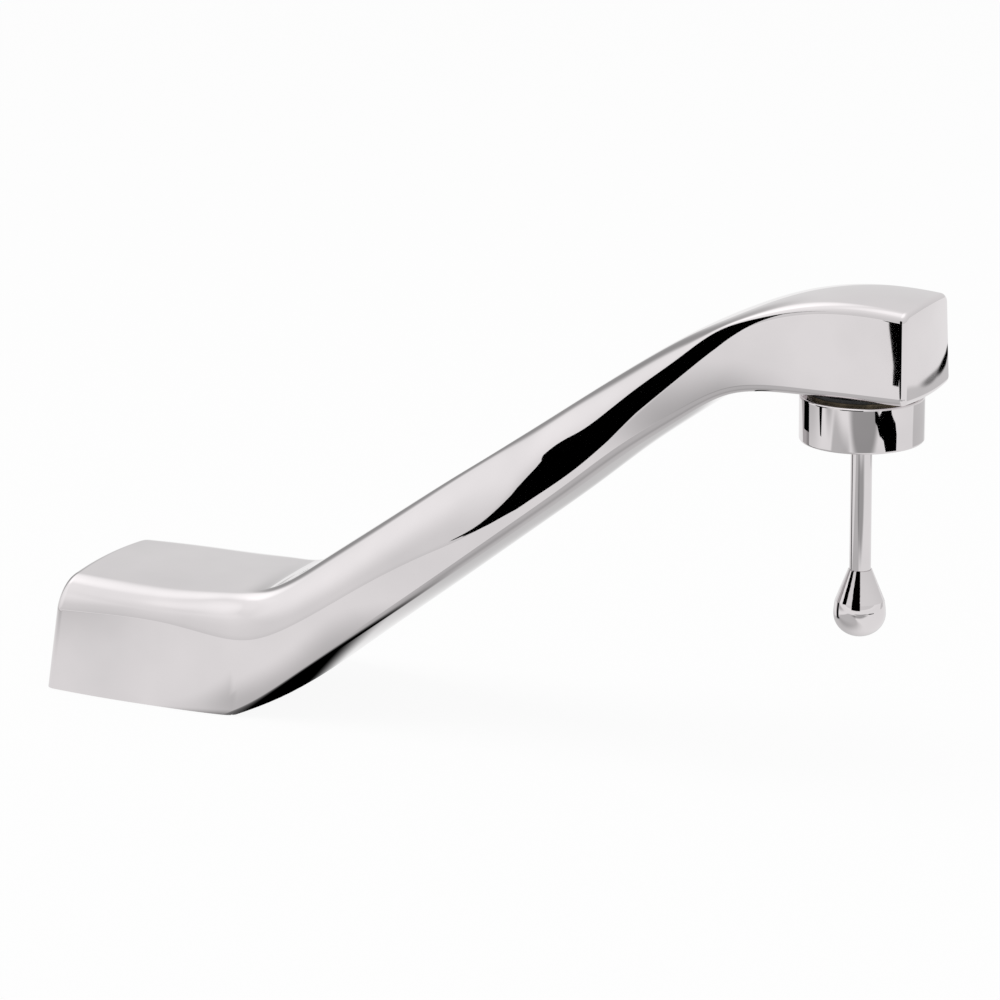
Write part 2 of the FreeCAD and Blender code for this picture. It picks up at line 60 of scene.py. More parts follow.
# most of the noise lies in this span
NOISE_LOW = 0.3
NOISE_HIGH = 0.7


def new_material(name):
    """Material with one shader on its output."""
    m = bpy.data.materials.new(name)
    m.use_nodes = True
    tree = m.node_tree
    tree.nodes.clear()
    out = tree.nodes.new("ShaderNodeOutputMaterial")
    shader = tree.nodes.new("ShaderNodeBsdfPrincipled")
    tree.links.new(shader.outputs["BSDF"], out.inputs["Surface"])
    return m, tree, shader


def noise(tree, scale, detail=3.0, stretch=(1.0, 1.0, 1.0)):
    """Noise in the object's own coordinates, in turns a metre."""
    coords = tree.nodes.new("ShaderNodeTexCoord")
    mapping = tree.nodes.new("ShaderNodeMapping")
    mapping.inputs["Scale"].default_value = stretch
    texture = tree.nodes.new("ShaderNodeTexNoise")
    texture.inputs["Scale"].default_value = scale
    texture.inputs["Detail"].default_value = detail
    tree.links.new(coords.outputs["Object"], mapping.inputs["Vector"])
    tree.links.new(mapping.outputs["Vector"], texture.inputs["Vector"])
    return texture.outputs["Fac"]


def spread(tree, value, low, high):
    """The noise value carried to the span from low to high."""
    node = tree.nodes.new("ShaderNodeMapRange")
    node.inputs["From Min"].default_value = NOISE_LOW
    node.inputs["From Max"].default_value = NOISE_HIGH
    node.inputs["To Min"].default_value = low
    node.inputs["To Max"].default_value = high
    tree.links.new(value, node.inputs["Value"])
    return node.outputs["Result"]


def tint(tree, value, dark, light):
    """Colour from dark at 0 to light at 1."""
    node = tree.nodes.new("ShaderNodeMix")
    node.data_type = "RGBA"
    node.inputs["A"].default_value = (*dark, 1.0)
    node.inputs["B"].default_value = (*light, 1.0)
    tree.links.new(value, node.inputs["Factor"])
    return node.outputs["Result"]


def bump(tree, shader, value, height, distance):
    """Relief of the shader, from a value."""
    node = tree.nodes.new("ShaderNodeBump")
    node.inputs["Strength"].default_value = height
    node.inputs["Distance"].default_value = distance
    tree.links.new(value, node.inputs["Height"])
    tree.links.new(node.outputs["Normal"], shader.inputs["Normal"])


def material(name, dark, light, rough, scale, grain, height, depth, metallic=0.0, stretch=(1.0, 1.0, 1.0)):
    """Colour that drifts between two values, roughness that drifts with it and a fine grain in relief."""
    m, tree, shader = new_material(name)
    drift = noise(tree, scale)
    tree.links.new(tint(tree, spread(tree, drift, 0.0, 1.0), dark, light), shader.inputs["Base Color"])
    fine = noise(tree, grain, 4.0, stretch)
    tree.links.new(spread(tree, fine, rough[0], rough[1]), shader.inputs["Roughness"])
    shader.inputs["Metallic"].default_value = metallic
    bump(tree, shader, fine, height, depth)
    return m


CHROME_DARK = (0.675, 0.648, 0.656)
CHROME_LIGHT = (0.755, 0.722, 0.730)
chrome_cast = material("chrome_cast", CHROME_DARK, CHROME_LIGHT, rough=(0.012, 0.03), metallic=1.0,
                       scale=35.0, grain=90.0, height=0.006, depth=0.00001)
chrome_turned = material("chrome_turned", CHROME_DARK, CHROME_LIGHT, rough=(0.008, 0.02), metallic=1.0,
                         scale=50.0, grain=600.0, height=0.01, depth=0.000003, stretch=(1.0, 1.0, 12.0))
black_rubber = material("black_rubber", (0.018, 0.018, 0.019), (0.04, 0.04, 0.041), rough=(0.55, 0.75),
                        scale=90.0, grain=1500.0, height=0.3, depth=0.00005)
brass = material("brass_raw", (0.60, 0.42, 0.19), (0.74, 0.55, 0.28), rough=(0.22, 0.36), metallic=1.0,
                 scale=70.0, grain=900.0, height=0.15, depth=0.00002, stretch=(1.0, 1.0, 9.0))
white_plastic = material("white_plastic", (0.74, 0.74, 0.71), (0.82, 0.82, 0.80), rough=(0.38, 0.5),
                         scale=80.0, grain=1800.0, height=0.15, depth=0.00003)
grey_plastic = material("grey_plastic", (0.26, 0.27, 0.28), (0.36, 0.37, 0.38), rough=(0.35, 0.5),
                        scale=80.0, grain=1800.0, height=0.2, depth=0.00003)
zinc = material("zinc_steel", (0.52, 0.54, 0.58), (0.68, 0.68, 0.68), rough=(0.25, 0.42), metallic=1.0,
                scale=120.0, grain=1200.0, height=0.2, depth=0.00002)
spring_steel = material("spring_steel", (0.56, 0.56, 0.57), (0.70, 0.70, 0.70), rough=(0.18, 0.3),
                        metallic=1.0, scale=150.0, grain=2500.0, height=0.15, depth=0.00001)

# by the record's material slots
FINISHES = {
    "chrome_cast": chrome_cast,
    "chrome_turned": chrome_turned,
    "black_rubber": black_rubber,
    "brass_raw": brass,
    "white_plastic": white_plastic,
    "grey_plastic": grey_plastic,
    "zinc_steel": zinc,
    "spring_steel": spring_steel,
}
for row in frame["record"]["subparts"]:
    node = frame["nodes"][row["node"]]
    node.data.materials.clear()
    node.data.materials.append(FINISHES[row["material_slot"]])
# the valve body's neck shows in the gap over the collar; its brass is painted dark there, as painted shade
# for the shade in that gap
brass_painted_shade = material("brass_painted_shade", (0.07, 0.06, 0.045), (0.16, 0.13, 0.09), rough=(0.35, 0.55), metallic=1.0,
                      scale=400.0, grain=1200.0, height=0.3, depth=0.00003)
neck = frame["nodes"]["valve_body"]
neck.data.materials.clear()
neck.data.materials.append(brass_painted_shade)

# The casting. Its polish shows the facets of the CAD mesh, so a finer skin of the same form is shown in its
# place. Sizes are in millimetres here, and the rows are the shares that part.py uses.

MM = 0.001
BASE_BACK = 26.4
BASE_HALF = 27.5
TOE = 28.0
TOE_SLOPE = 0.55
REACH = 170.0
HEAD_BACK = 28.0
NOSE = 16.5
SPOT_R = 12.15
HEAD_HALF = 12.9
SHOULDER = 17.3
BAND = 8.6
CROWN = 1.0
BELLY = 2.0
LOWER_ROUND = 2.5
BACK_R = 170.0
BACK_DRAFT = 6.0
BACK_ROUND = 3.0
FRONT_R = 92.0
FRONT_DRAFT = 1.4
FRONT_ROUND = 1.5
ROUNDNESS = 0.56
OPEN_ROUNDNESS = 0.62
BASE_TOP = 26.0
HEAD_TOP = 110.5
HEAD_UNDER = 88.1
HEAD_START = REACH - HEAD_BACK
END_X = REACH + NOSE

#   along,  ridge,  under,  width,  foot,  band, belly, tilt, draft, flat, lower
BASE_ROWS = [
    (-0.011, 0.000, 0.000, 0.850, 0.460, 0.140, 1.00, 22.0, 6.0, 0.62, 0.48),
    (0.301, 0.000, 0.000, 0.970, 0.390, 0.130, 1.00, 22.0, 6.0, 0.62, 0.48),
    (0.632, 0.000, 0.000, 1.000, 0.390, 0.130, 1.00, 22.0, 6.0, 0.61, 0.48),
    (0.816, 0.005, 0.000, 0.980, 0.486, 0.140, 1.00, 22.0, 6.0, 0.60, 0.48),
]
ARM_ROWS = [
    (0.000, 0.021, -0.004, 0.904, 0.584, 0.140, 1.00, 23.0, 5.8, 0.56, 0.48),
    (0.105, 0.106, 0.094, 0.760, 0.700, 0.140, 1.00, 24.0, 5.6, 0.46, 0.52),
    (0.237, 0.233, 0.225, 0.548, 0.755, 0.140, 1.00, 24.0, 5.2, 0.36, 0.60),
    (0.368, 0.358, 0.354, 0.370, 0.861, 0.130, 1.00, 24.0, 4.8, 0.28, 0.68),
    (0.456, 0.439, 0.442, 0.274, 0.954, 0.190, 0.95, 24.0, 4.7, 0.25, 0.76),
    (0.544, 0.522, 0.530, 0.192, 1.000, 0.650, 0.90, 24.0, 4.5, 0.23, 0.84),
    (0.667, 0.639, 0.655, 0.089, 0.990, 1.000, 0.85, 24.0, 4.2, 0.22, 0.92),
    (0.789, 0.752, 0.783, 0.027, 0.763, 0.790, 0.75, 23.0, 4.0, 0.23, 1.00),
    (0.895, 0.842, 0.883, 0.000, 0.538, 0.580, 0.60, 22.0, 3.8, 0.27, 0.88),
]
HEAD_ROWS = [
    (0.000, 0.915, 0.969, 0.000, 0.300, 0.390, 0.40, 19.0, 3.4, 0.36, 0.68),
    (0.226, 0.962, 0.994, 0.000, 0.205, 0.160, 0.25, 16.0, 3.1, 0.50, 0.72),
    (0.452, 0.990, 0.999, 0.000, 0.182, 0.100, 0.15, 15.0, 2.9, 0.66, 0.76),
    (0.679, 1.000, 1.000, 0.000, 0.178, 0.085, 0.15, 14.0, 2.7, 0.76, 0.76),
    (0.860, 0.998, 1.000, 0.000, 0.178, 0.080, 0.15, 14.0, 2.6, 0.79, 0.76),
    (1.086, 0.987, 1.000, 0.000, 0.178, 0.080, 0.15, 14.0, 2.5, 0.80, 0.76),
]


def natural(xs, ys):
    """Natural cubic spline through the points, for arrays of x."""
    xs = np.array(xs)
    ys = np.array(ys)
    h = np.diff(xs)
    n = len(xs)
    system = np.eye(n)
    right = np.zeros(n)
    for i in range(1, n - 1):
        system[i, i - 1:i + 2] = (h[i - 1], 2.0 * (h[i - 1] + h[i]), h[i])
        right[i] = 6.0 * ((ys[i + 1] - ys[i]) / h[i] - (ys[i] - ys[i - 1]) / h[i - 1])
    bend = np.linalg.solve(system, right)

    def value(x):
        i = np.clip(np.searchsorted(xs, x) - 1, 0, n - 2)
        u = xs[i + 1] - x
        v = x - xs[i]
        k = h[i]
        curved = (bend[i] * u ** 3 + bend[i + 1] * v ** 3) / (6.0 * k)
        return curved + (ys[i] / k - bend[i] * k / 6.0) * u + (ys[i + 1] / k - bend[i + 1] * k / 6.0) * v
    return value


def casting_columns():
    """A spline over x for each column of the rows."""
    rows = []
    stretches = ((BASE_ROWS, -BASE_BACK, TOE), (ARM_ROWS, TOE, HEAD_START), (HEAD_ROWS, HEAD_START, END_X))
    for rows_here, start, end in stretches:
        for along, ridge, under, width, foot, band, belly, tilt, draft, flat, lower in rows_here:
            x = start + along * (end - start)
            rows.append((
                x,
                BASE_TOP + ridge * (HEAD_TOP - BASE_TOP),
                under * HEAD_UNDER - max(0.0, TOE - x) * TOE_SLOPE,
                HEAD_HALF + width * (BASE_HALF - HEAD_HALF),
                foot * SHOULDER,
                math.log(band * BAND),
                belly * BELLY,
                tilt,
                draft,
                flat,
                lower * LOWER_ROUND,
            ))
    return [natural([row[0] for row in rows], [row[k] for row in rows]) for k in range(1, len(rows[0]))]


COLUMNS = casting_columns()
LEAST_DROP = 0.01


def pair(y, z):
    """Points of the section from arrays of y and z."""
    return np.stack(np.broadcast_arrays(y, z), -1)


def meet(p, u, q, w):
    """Where the lines from p along u and from q along w cross."""
    across = u[..., 0] * w[..., 1] - u[..., 1] * w[..., 0]
    t = ((q[..., 0] - p[..., 0]) * w[..., 1] - (q[..., 1] - p[..., 1]) * w[..., 0]) / across
    return p + u * t[..., None]


def rounding(start, corner, end, handle):
    """Poles of a rounded corner; its handles reach a share of the way to the corner."""
    return [start, start + (corner - start) * handle, end + (corner - end) * handle, end]


def half_section(x):
    """Poles of the curves from the ridge down the side to the middle of the belly, at every x."""
    ridge, under, half, drop, log_band, belly, tilt, draft, flat, lower = [column(x) for column in COLUMNS]
    slant = np.radians(draft)
    roll = np.radians(tilt)
    up_side = pair(-np.sin(slant), np.cos(slant))
    up_band = pair(-np.sin(roll), np.cos(roll))
    low_z = under + belly
    low_y = half + np.maximum(0.0, -low_z) * np.tan(slant)
    foot_z = ridge - drop
    foot = pair(low_y - (foot_z - low_z) * np.tan(slant), foot_z)
    leg = (np.exp(log_band) / (up_side[..., 1] + up_band[..., 1]))[..., None]
    turn = foot + leg * up_side
    brow = turn + leg * up_band
    bow = CROWN / brow[..., 0] ** 2
    flat_y = flat * brow[..., 0]
    flat_end = pair(flat_y, ridge - bow * flat_y ** 2)
    peak = meet(brow, up_band, flat_end, pair(1.0, -2.0 * bow * flat_y))
    side_end = pair(low_y, low_z) + up_side * lower[..., None]
    # the side stops at the deck
    share = np.clip(foot_z / np.maximum(foot_z - side_end[..., 1], LEAST_DROP), 0.0, 1.0)[..., None]
    side_stop = foot + (side_end - foot) * share
    sag = belly / low_y ** 2
    belly_y = low_y - lower
    belly_end = pair(belly_y, under + sag * belly_y ** 2)
    corner_in = meet(side_end, up_side, belly_end, pair(1.0, 2.0 * sag * belly_y))
    middle = pair(0.0 * ridge, ridge)
    return [
        [middle, pair(flat_y / 2.0, ridge), flat_end],
        rounding(flat_end, peak, brow, OPEN_ROUNDNESS),
        [brow, turn, foot],
        [foot, side_stop],
        rounding(side_stop, corner_in, belly_end, ROUNDNESS),
        [belly_end, pair(belly_y / 2.0, under), pair(0.0 * under, under)],
    ]


# faces round each curve of the half section, along the casting, over a rolled edge and in over an end wall
STEPS = (8, 12, 12, 14, 10, 6)
STATIONS = 190
EDGE_STEPS = 7
CAP_RINGS = 6
# the innermost ring of an end wall, as a share of its rim
INNER_RING = 0.001
# turns of the search for where the skin meets an end wall, and how far from the back it starts
EDGE_ROUNDS = 40
BACK_GUESS = 2.0
# steps along and round the section over which its slope is taken
STEP_ALONG = 0.02
STEP_ROUND = 0.001
# faces no higher than this lie on the deck, and those this near the head's underside lie in the spot face
DECK_HEIGHT = 0.0001
SPOT_HEIGHT = 1.0
# how far a CAD facet may lie from the skin, and how near it has to face, to count as the same surface
SAME_PLACE = 0.00015
SAME_FACING = 0.4
CURVE = np.array([k for k, n in enumerate(STEPS) for _ in range(n)] + [len(STEPS) - 1])
SHARE = np.array([i / n for n in STEPS for i in range(n)] + [1.0])
DECK_ROW = sum(STEPS[:4])


def skin_points(x, shift=0.0):
    """Points of the half skin, one column for each place round the section, at x of the same shape."""
    found = np.zeros(x.shape + (3,))
    found[..., 0] = x
    for k in range(len(STEPS)):
        here = CURVE == k
        poles = half_section(x[..., here])
        t = (SHARE[here] + shift)[..., None]
        row = poles[k]
        while len(row) > 1:
            row = [a + (b - a) * t for a, b in zip(row, row[1:])]
        found[..., here, 1:] = row[0]
    return found


def unit(v):
    """The same directions with length 1."""
    return v / np.linalg.norm(v, axis=-1, keepdims=True)


def skin_normals(x):
    """Outward directions of the half skin, from its slopes."""
    along = skin_points(x + STEP_ALONG) - skin_points(x - STEP_ALONG)
    round_it = skin_points(x, STEP_ROUND) - skin_points(x, -STEP_ROUND)
    return unit(np.cross(along, round_it))


def end_wall(r, draft, axis_x, z_foot, side):
    """Drafted round end: its x over (y, z), and its outward direction."""
    slope = math.tan(math.radians(draft))

    def at(p):
        reach = r - (p[..., 2] - z_foot) * slope
        return axis_x + side * np.sqrt(reach ** 2 - p[..., 1] ** 2)

    def facing(p):
        out = np.stack([p[..., 0] - axis_x, p[..., 1], 0.0 * p[..., 1]], -1)
        out = unit(out)
        out[..., 2] = slope
        return unit(out)
    return at, facing


def rolled_edge(wall, r, x):
    """Where the rolled edge leaves the skin, and its points and normals up to the end wall."""
    at, facing = wall
    for _ in range(EDGE_ROUNDS):
        x = at(skin_points(x))
    corner = skin_points(x)
    n1 = skin_normals(x)
    n2 = facing(corner)
    centre = corner - r * (n1 + n2) / (1.0 + (n1 * n2).sum(-1, keepdims=True))
    turn = np.arccos(np.clip((n1 * n2).sum(-1), -1.0, 1.0))[..., None]
    points = []
    normals = []
    for i in range(1, EDGE_STEPS + 1):
        t = i / EDGE_STEPS
        n = (np.sin((1.0 - t) * turn) * n1 + np.sin(t * turn) * n2) / np.sin(turn)
        points.append(centre + r * n)
        normals.append(n)
    return (centre + r * n1)[..., 0], np.array(points), np.array(normals)


def end_cap(wall, rim, z_middle):
    """Rings of the end wall inside the rolled edge, down to its middle."""
    at, facing = wall
    points = []
    for i in range(CAP_RINGS - 1, -1, -1):
        f = max(i / CAP_RINGS, INNER_RING)
        ring = rim.copy()
        ring[..., 1] = rim[..., 1] * f
        ring[..., 2] = z_middle + (rim[..., 2] - z_middle) * f
        ring[..., 0] = at(ring)
        points.append(ring)
    points = np.array(points)
    return points, facing(points)


def casting_skin():
    """Points, normals and four-sided faces of the outer skin, in rows from the back to the end face."""
    back = end_wall(BACK_R, BACK_DRAFT, BACK_R - BASE_BACK, 0.0, -1.0)
    front = end_wall(FRONT_R, FRONT_DRAFT, END_X - FRONT_R, HEAD_UNDER, 1.0)
    around = len(CURVE)
    x0, back_edge, back_n = rolled_edge(back, BACK_ROUND, np.full(around, BACK_GUESS - BASE_BACK))
    x1, front_edge, front_n = rolled_edge(front, FRONT_ROUND, np.full(around, END_X))
    back_edge[:, DECK_ROW:, 2] = 0.0
    s = np.linspace(0.0, 1.0, STATIONS)[:, None]
    x = x0 + s * (x1 - x0)
    skin = skin_points(x)
    back_cap, back_cap_n = end_cap(back, back_edge[-1], 0.0)
    front_cap, front_cap_n = end_cap(front, front_edge[-1], (HEAD_TOP + HEAD_UNDER) / 2.0)
    points = np.concatenate([back_cap[::-1], back_edge[::-1], skin, front_edge, front_cap])
    normals = np.concatenate([back_cap_n[::-1], back_n[::-1], skin_normals(x), front_n, front_cap_n])
    ends = len(back_cap) + len(back_edge)
    points[..., 2] = np.maximum(points[..., 2], 0.0)
    # the other half, from the belly's middle back up to the ridge
    mirror = np.array([1.0, -1.0, 1.0])
    points = np.concatenate([points, points[:, -2:0:-1] * mirror], 1)
    normals = np.concatenate([normals, normals[:, -2:0:-1] * mirror], 1)
    rows, round_it = points.shape[:2]
    faces = []
    for i in range(rows - 1):
        for j in range(round_it):
            k = (j + 1) % round_it
            cell = points[[i, i, i + 1, i + 1], [j, k, k, j]]
            middle = cell.mean(0)
            on_deck = cell[:, 2].max() < DECK_HEIGHT
            under_base = i < ends and min(j, k, round_it - j, round_it - k) >= DECK_ROW
            spot = math.hypot(middle[0] - REACH, middle[1]) < SPOT_R and middle[2] < HEAD_UNDER + SPOT_HEIGHT
            if not (on_deck or under_base or spot):
                a = i * round_it
                b = a + round_it
                faces.append((a + j, b + j, b + k, a + k))
    return points.reshape(-1, 3) * MM, normals.reshape(-1, 3), faces


def casting_mesh():
    """The fine skin, with the CAD's own facets for everything inside it."""
    skin, skin_facing, faces = casting_skin()
    cad = frame["nodes"]["spout_body"].data
    tree = BVHTree.FromPolygons([Vector(p) for p in skin], faces)
    points = [v.co.copy() for v in cad.vertices]
    inner = []
    for polygon in cad.polygons:
        corners = [points[i] for i in polygon.vertices]
        outside = True
        for p in corners + [polygon.center]:
            _, facing, _, away = tree.find_nearest(p)
            if away > SAME_PLACE or facing.dot(polygon.normal) < SAME_FACING:
                outside = False
                break
        if not outside:
            inner.append([i + len(skin) for i in polygon.vertices])
    low, high = [np.array(c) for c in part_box("spout_body")]
    everything = np.concatenate([np.clip(skin, low, high), np.array(points)])
    mesh = bpy.data.meshes.new("casting_shown")
    mesh.from_pydata(everything.tolist(), [], [list(f) for f in faces] + inner)
    mesh.shade_smooth()
    facing = [skin_facing[i] for f in faces for i in f]
    flat = [mesh.polygons[len(faces) + i].normal for i in range(len(inner))]
    facing += [n for n in flat for _ in range(3)]
    mesh.normals_split_custom_set([Vector(n) for n in facing])
    return mesh


casting = bpy.data.objects.new("casting_shown", casting_mesh())
scene.collection.objects.link(casting)
casting.data.materials.append(chrome_cast)
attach(casting, "tap")
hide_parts("spout_body")

# The shank's pipe thread, cut into the CAD's plain cylinder; sizes in millimetres

THREAD_PITCH = 25.4 / 14.0
THREAD_ROOT = 9.6
THREAD_CREST = 10.47
SHANK_BORE = 7.0
SHANK_FOOT = -48.0
SHANK_TOP = 14.5
SEAT_R = 8.65
SEAT_Z = -46.4
RELIEF_R = 9.58
RELIEF_FOOT = -33.5
RELIEF_TOP = -32.5
# the thread's outline over one pitch: share of the pitch and radius
PROFILE = [(0.0, THREAD_ROOT), (0.12, THREAD_ROOT), (0.5, THREAD_CREST), (0.62, THREAD_CREST),
           (1.0, THREAD_ROOT)]
SHANK_SEGMENTS = 72
# faces narrower than this are left out
NO_WIDTH = 0.02


def thread_radius(z, turn):
    """Radius of the thread at a height, after a part of a turn; it starts with a chamfer at the foot."""
    share = (z / THREAD_PITCH - turn) % 1.0
    for (u0, r0), (u1, r1) in zip(PROFILE, PROFILE[1:]):
        if share <= u1:
            r = r0 + (r1 - r0) * (share - u0) / (u1 - u0)
            break
    return min(r, THREAD_ROOT + z - SHANK_FOOT)


def ring(r, z):
    """Edge at one radius and height."""
    return lambda turn: (r, z)


def thread_end(z):
    """Edge where the thread stops at a height."""
    return lambda turn: (thread_radius(z, turn), z)


def helix(share, low, high):
    """Edge that climbs with the thread and stays between two heights."""
    def edge(turn):
        z = min(max(THREAD_PITCH * (share + turn), low), high)
        return thread_radius(z, turn), z
    return edge


def thread_strips(low, high):
    """The thread between two heights."""
    strips = []
    first = math.floor(low / THREAD_PITCH) - 1
    last = math.ceil(high / THREAD_PITCH) + 1
    for count in range(first, last):
        for (u0, _), (u1, _) in zip(PROFILE, PROFILE[1:]):
            strips.append((helix(count + u0, low, high), helix(count + u1, low, high)))
    return strips


def shank_strips():
    """Strips of the shank's section, each as two edges; an edge gives r and z after a part of a turn."""
    relief = [thread_end(RELIEF_FOOT), ring(RELIEF_R, RELIEF_FOOT), ring(RELIEF_R, RELIEF_TOP),
              thread_end(RELIEF_TOP)]
    top_and_bore = [thread_end(0.0), ring(THREAD_CREST, 0.0), ring(THREAD_CREST, SHANK_TOP),
                    ring(SHANK_BORE, SHANK_TOP), ring(SHANK_BORE, SEAT_Z), ring(SEAT_R, SEAT_Z),
                    ring(SEAT_R, SHANK_FOOT)]
    strips = [(ring(SEAT_R, SHANK_FOOT), thread_end(SHANK_FOOT))]
    strips += thread_strips(SHANK_FOOT, RELIEF_FOOT)
    strips += zip(relief, relief[1:])
    strips += thread_strips(RELIEF_TOP, 0.0)
    strips += zip(top_and_bore, top_and_bore[1:])
    return strips


def shank_mesh():
    """Every strip as four-sided faces with their own corners and normals."""
    points = []
    facing = []
    for below, above in shank_strips():
        for j in range(SHANK_SEGMENTS):
            turns = (j / SHANK_SEGMENTS, (j + 1) / SHANK_SEGMENTS)
            corners = [(below(turns[0]), turns[0]), (below(turns[1]), turns[1]),
                       (above(turns[1]), turns[1]), (above(turns[0]), turns[0])]
            rise = [corners[3][0][1] - corners[0][0][1], corners[2][0][1] - corners[1][0][1]]
            out = [corners[3][0][0] - corners[0][0][0], corners[2][0][0] - corners[1][0][0]]
            if min(abs(rise[i]) + abs(out[i]) for i in (0, 1)) < NO_WIDTH:
                continue
            size = math.hypot(sum(rise), sum(out))
            for (r, z), turn in corners:
                c = math.cos(2 * math.pi * turn)
                s = math.sin(2 * math.pi * turn)
                points.append((r * c * MM, r * s * MM, z * MM))
                facing.append((c * sum(rise) / size, s * sum(rise) / size, -sum(out) / size))
    mesh = bpy.data.meshes.new("shank_shown")
    mesh.from_pydata(points, [], [(i, i + 1, i + 2, i + 3) for i in range(0, len(points), 4)])
    mesh.shade_smooth()
    mesh.normals_split_custom_set([Vector(n) for n in facing])
    return mesh


shank = bpy.data.objects.new("shank_shown", shank_mesh())
scene.collection.objects.link(shank)
shank.data.materials.append(brass)
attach(shank, "tap")
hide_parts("shank")

# The return spring is shown as its own copy of the CAD mesh. In the tap it shortens as the rod's tilt lifts
# the poppet, with its top on the retainer.

cad_spring = frame["nodes"]["return_spring"]
spring = bpy.data.objects.new("spring_shown", cad_spring.data.copy())
spring.matrix_world = cad_spring.matrix_world
scene.collection.objects.link(spring)
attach(spring, "tap")
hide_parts("return_spring")
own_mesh(spring)

# Camera

CAMERA_AT = (0.8592, -1.5715, 0.5353)
CAMERA_DOWN = 15.42
CAMERA_TURN = 26.36
LENS = 288.0
SENSOR = 36.0
camera_data = bpy.data.cameras.new("camera")
camera_data.sensor_width = SENSOR
camera_data.lens = LENS
camera_data.clip_start = 0.01
camera_data.clip_end = 60.0
camera = bpy.data.objects.new("camera", camera_data)
camera.location = CAMERA_AT
camera.rotation_euler = (math.radians(90.0 - CAMERA_DOWN), 0.0, math.radians(CAMERA_TURN))
scene.collection.objects.link(camera)
scene.camera = camera

# Studio

WHITE = (1.0, 1.0, 1.0, 1.0)
PAPER = (0.86, 0.86, 0.86, 1.0)
FLOOR_GLOW = 0.93
FLOOR_HALF = 12.0
FLOOR_Z = -0.0002
TABLE_HALF = 1.2
TABLE_Z = -0.0001
FILL_LEVEL = 0.55
BLACK = 0.0


def add(tree, kind, **inputs):
    """Node with some of its inputs set."""
    node = tree.nodes.new(kind)
    for name, value in inputs.items():
        node.inputs[name].default_value = value
    return node


def maths(tree, operation, a, b):
    """Result of one operation on two numbers or sockets."""
    node = tree.nodes.new("ShaderNodeMath")
    node.operation = operation
    for i, value in enumerate((a, b)):
        if isinstance(value, float):
            node.inputs[i].default_value = value
        else:
            tree.links.new(value, node.inputs[i])
    return node.outputs["Value"]


def empty_material(name):
    """Material with nothing on its output yet."""
    m = bpy.data.materials.new(name)
    m.use_nodes = True
    m.node_tree.nodes.clear()
    return m, m.node_tree, m.node_tree.nodes.new("ShaderNodeOutputMaterial")


def staged_mesh(name, corners, glossy_only):
    """Flat piece of the studio. A card that only reflections see casts no light and no shadow."""
    mesh = bpy.data.meshes.new(name)
    mesh.from_pydata([Vector(c) for c in corners], [], [tuple(range(len(corners)))])
    piece = bpy.data.objects.new(name, mesh)
    scene.collection.objects.link(piece)
    if glossy_only:
        piece.visible_camera = False
        piece.visible_diffuse = False
        piece.visible_shadow = False
        piece.visible_transmission = False
        piece.visible_volume_scatter = False
    return piece


def card(name, corners, level):
    """Even card that only reflections see."""
    m, tree, out = empty_material(name)
    glow = add(tree, "ShaderNodeEmission", Color=WHITE, Strength=level)
    tree.links.new(glow.outputs["Emission"], out.inputs["Surface"])
    piece = staged_mesh(name, corners, True)
    piece.data.materials.append(m)


def seen_rays(tree):
    """1 for camera, glossy and transmission rays."""
    path = tree.nodes.new("ShaderNodeLightPath")
    seen = maths(tree, "MAXIMUM", path.outputs["Is Camera Ray"], path.outputs["Is Glossy Ray"])
    return maths(tree, "MAXIMUM", seen, path.outputs["Is Transmission Ray"])


def square(half, z):
    """Corners of a level square."""
    return [(-half, -half, z), (half, -half, z), (half, half, z), (-half, half, z)]


def soft_floor():
    """White where it is seen, less a share of paper that takes the shadow."""
    m, tree, out = empty_material("floor")
    paper = add(tree, "ShaderNodeBsdfDiffuse", Color=PAPER)
    glow = add(tree, "ShaderNodeEmission", Color=WHITE, Strength=1.0)
    mix = tree.nodes.new("ShaderNodeMixShader")
    tree.links.new(maths(tree, "MULTIPLY", seen_rays(tree), FLOOR_GLOW), mix.inputs["Fac"])
    tree.links.new(paper.outputs["BSDF"], mix.inputs[1])
    tree.links.new(glow.outputs["Emission"], mix.inputs[2])
    tree.links.new(mix.outputs["Shader"], out.inputs["Surface"])
    floor = staged_mesh("floor", square(FLOOR_HALF, FLOOR_Z), False)
    floor.data.materials.append(m)


# Darker zones of the table as reflections see it; the black one under the toe is painted shadow. In metres:
# centre, half sizes, turn in degrees, how square, what is left of the light and how soft the rim is
TABLE_LEVEL = 0.94
ZONES_WITH_PAINTED_SHADOW = [
    ((0.100, -0.165), (0.092, 0.150), 0.0, 6.0, 0.64, 0.12),
    ((0.105, 0.070), (0.060, 0.110), 0.0, 4.0, 0.68, 0.4),
    # painted contact shadow of the toe on the table, which only reflections see
    ((0.042, -0.010), (0.034, 0.025), 0.0, 2.0, 0.0, 0.4),
    ((-0.240, -0.080), (0.120, 0.200), 0.0, 2.0, 0.62, 0.6),
    ((0.258, -0.207), (0.130, 0.045), 23.0, 3.0, 0.45, 0.4),
    ((0.325, -0.290), (0.150, 0.045), 28.0, 3.0, 0.4, 0.3),
    ((0.300, 0.300), (0.150, 0.067), -29.0, 6.0, 0.72, 0.05),
    ((0.268, 0.393), (0.050, 0.007), -29.0, 2.0, 0.0, 0.3),
    ((0.335, 0.358), (0.050, 0.005), -29.0, 2.0, 0.3, 0.5),
]


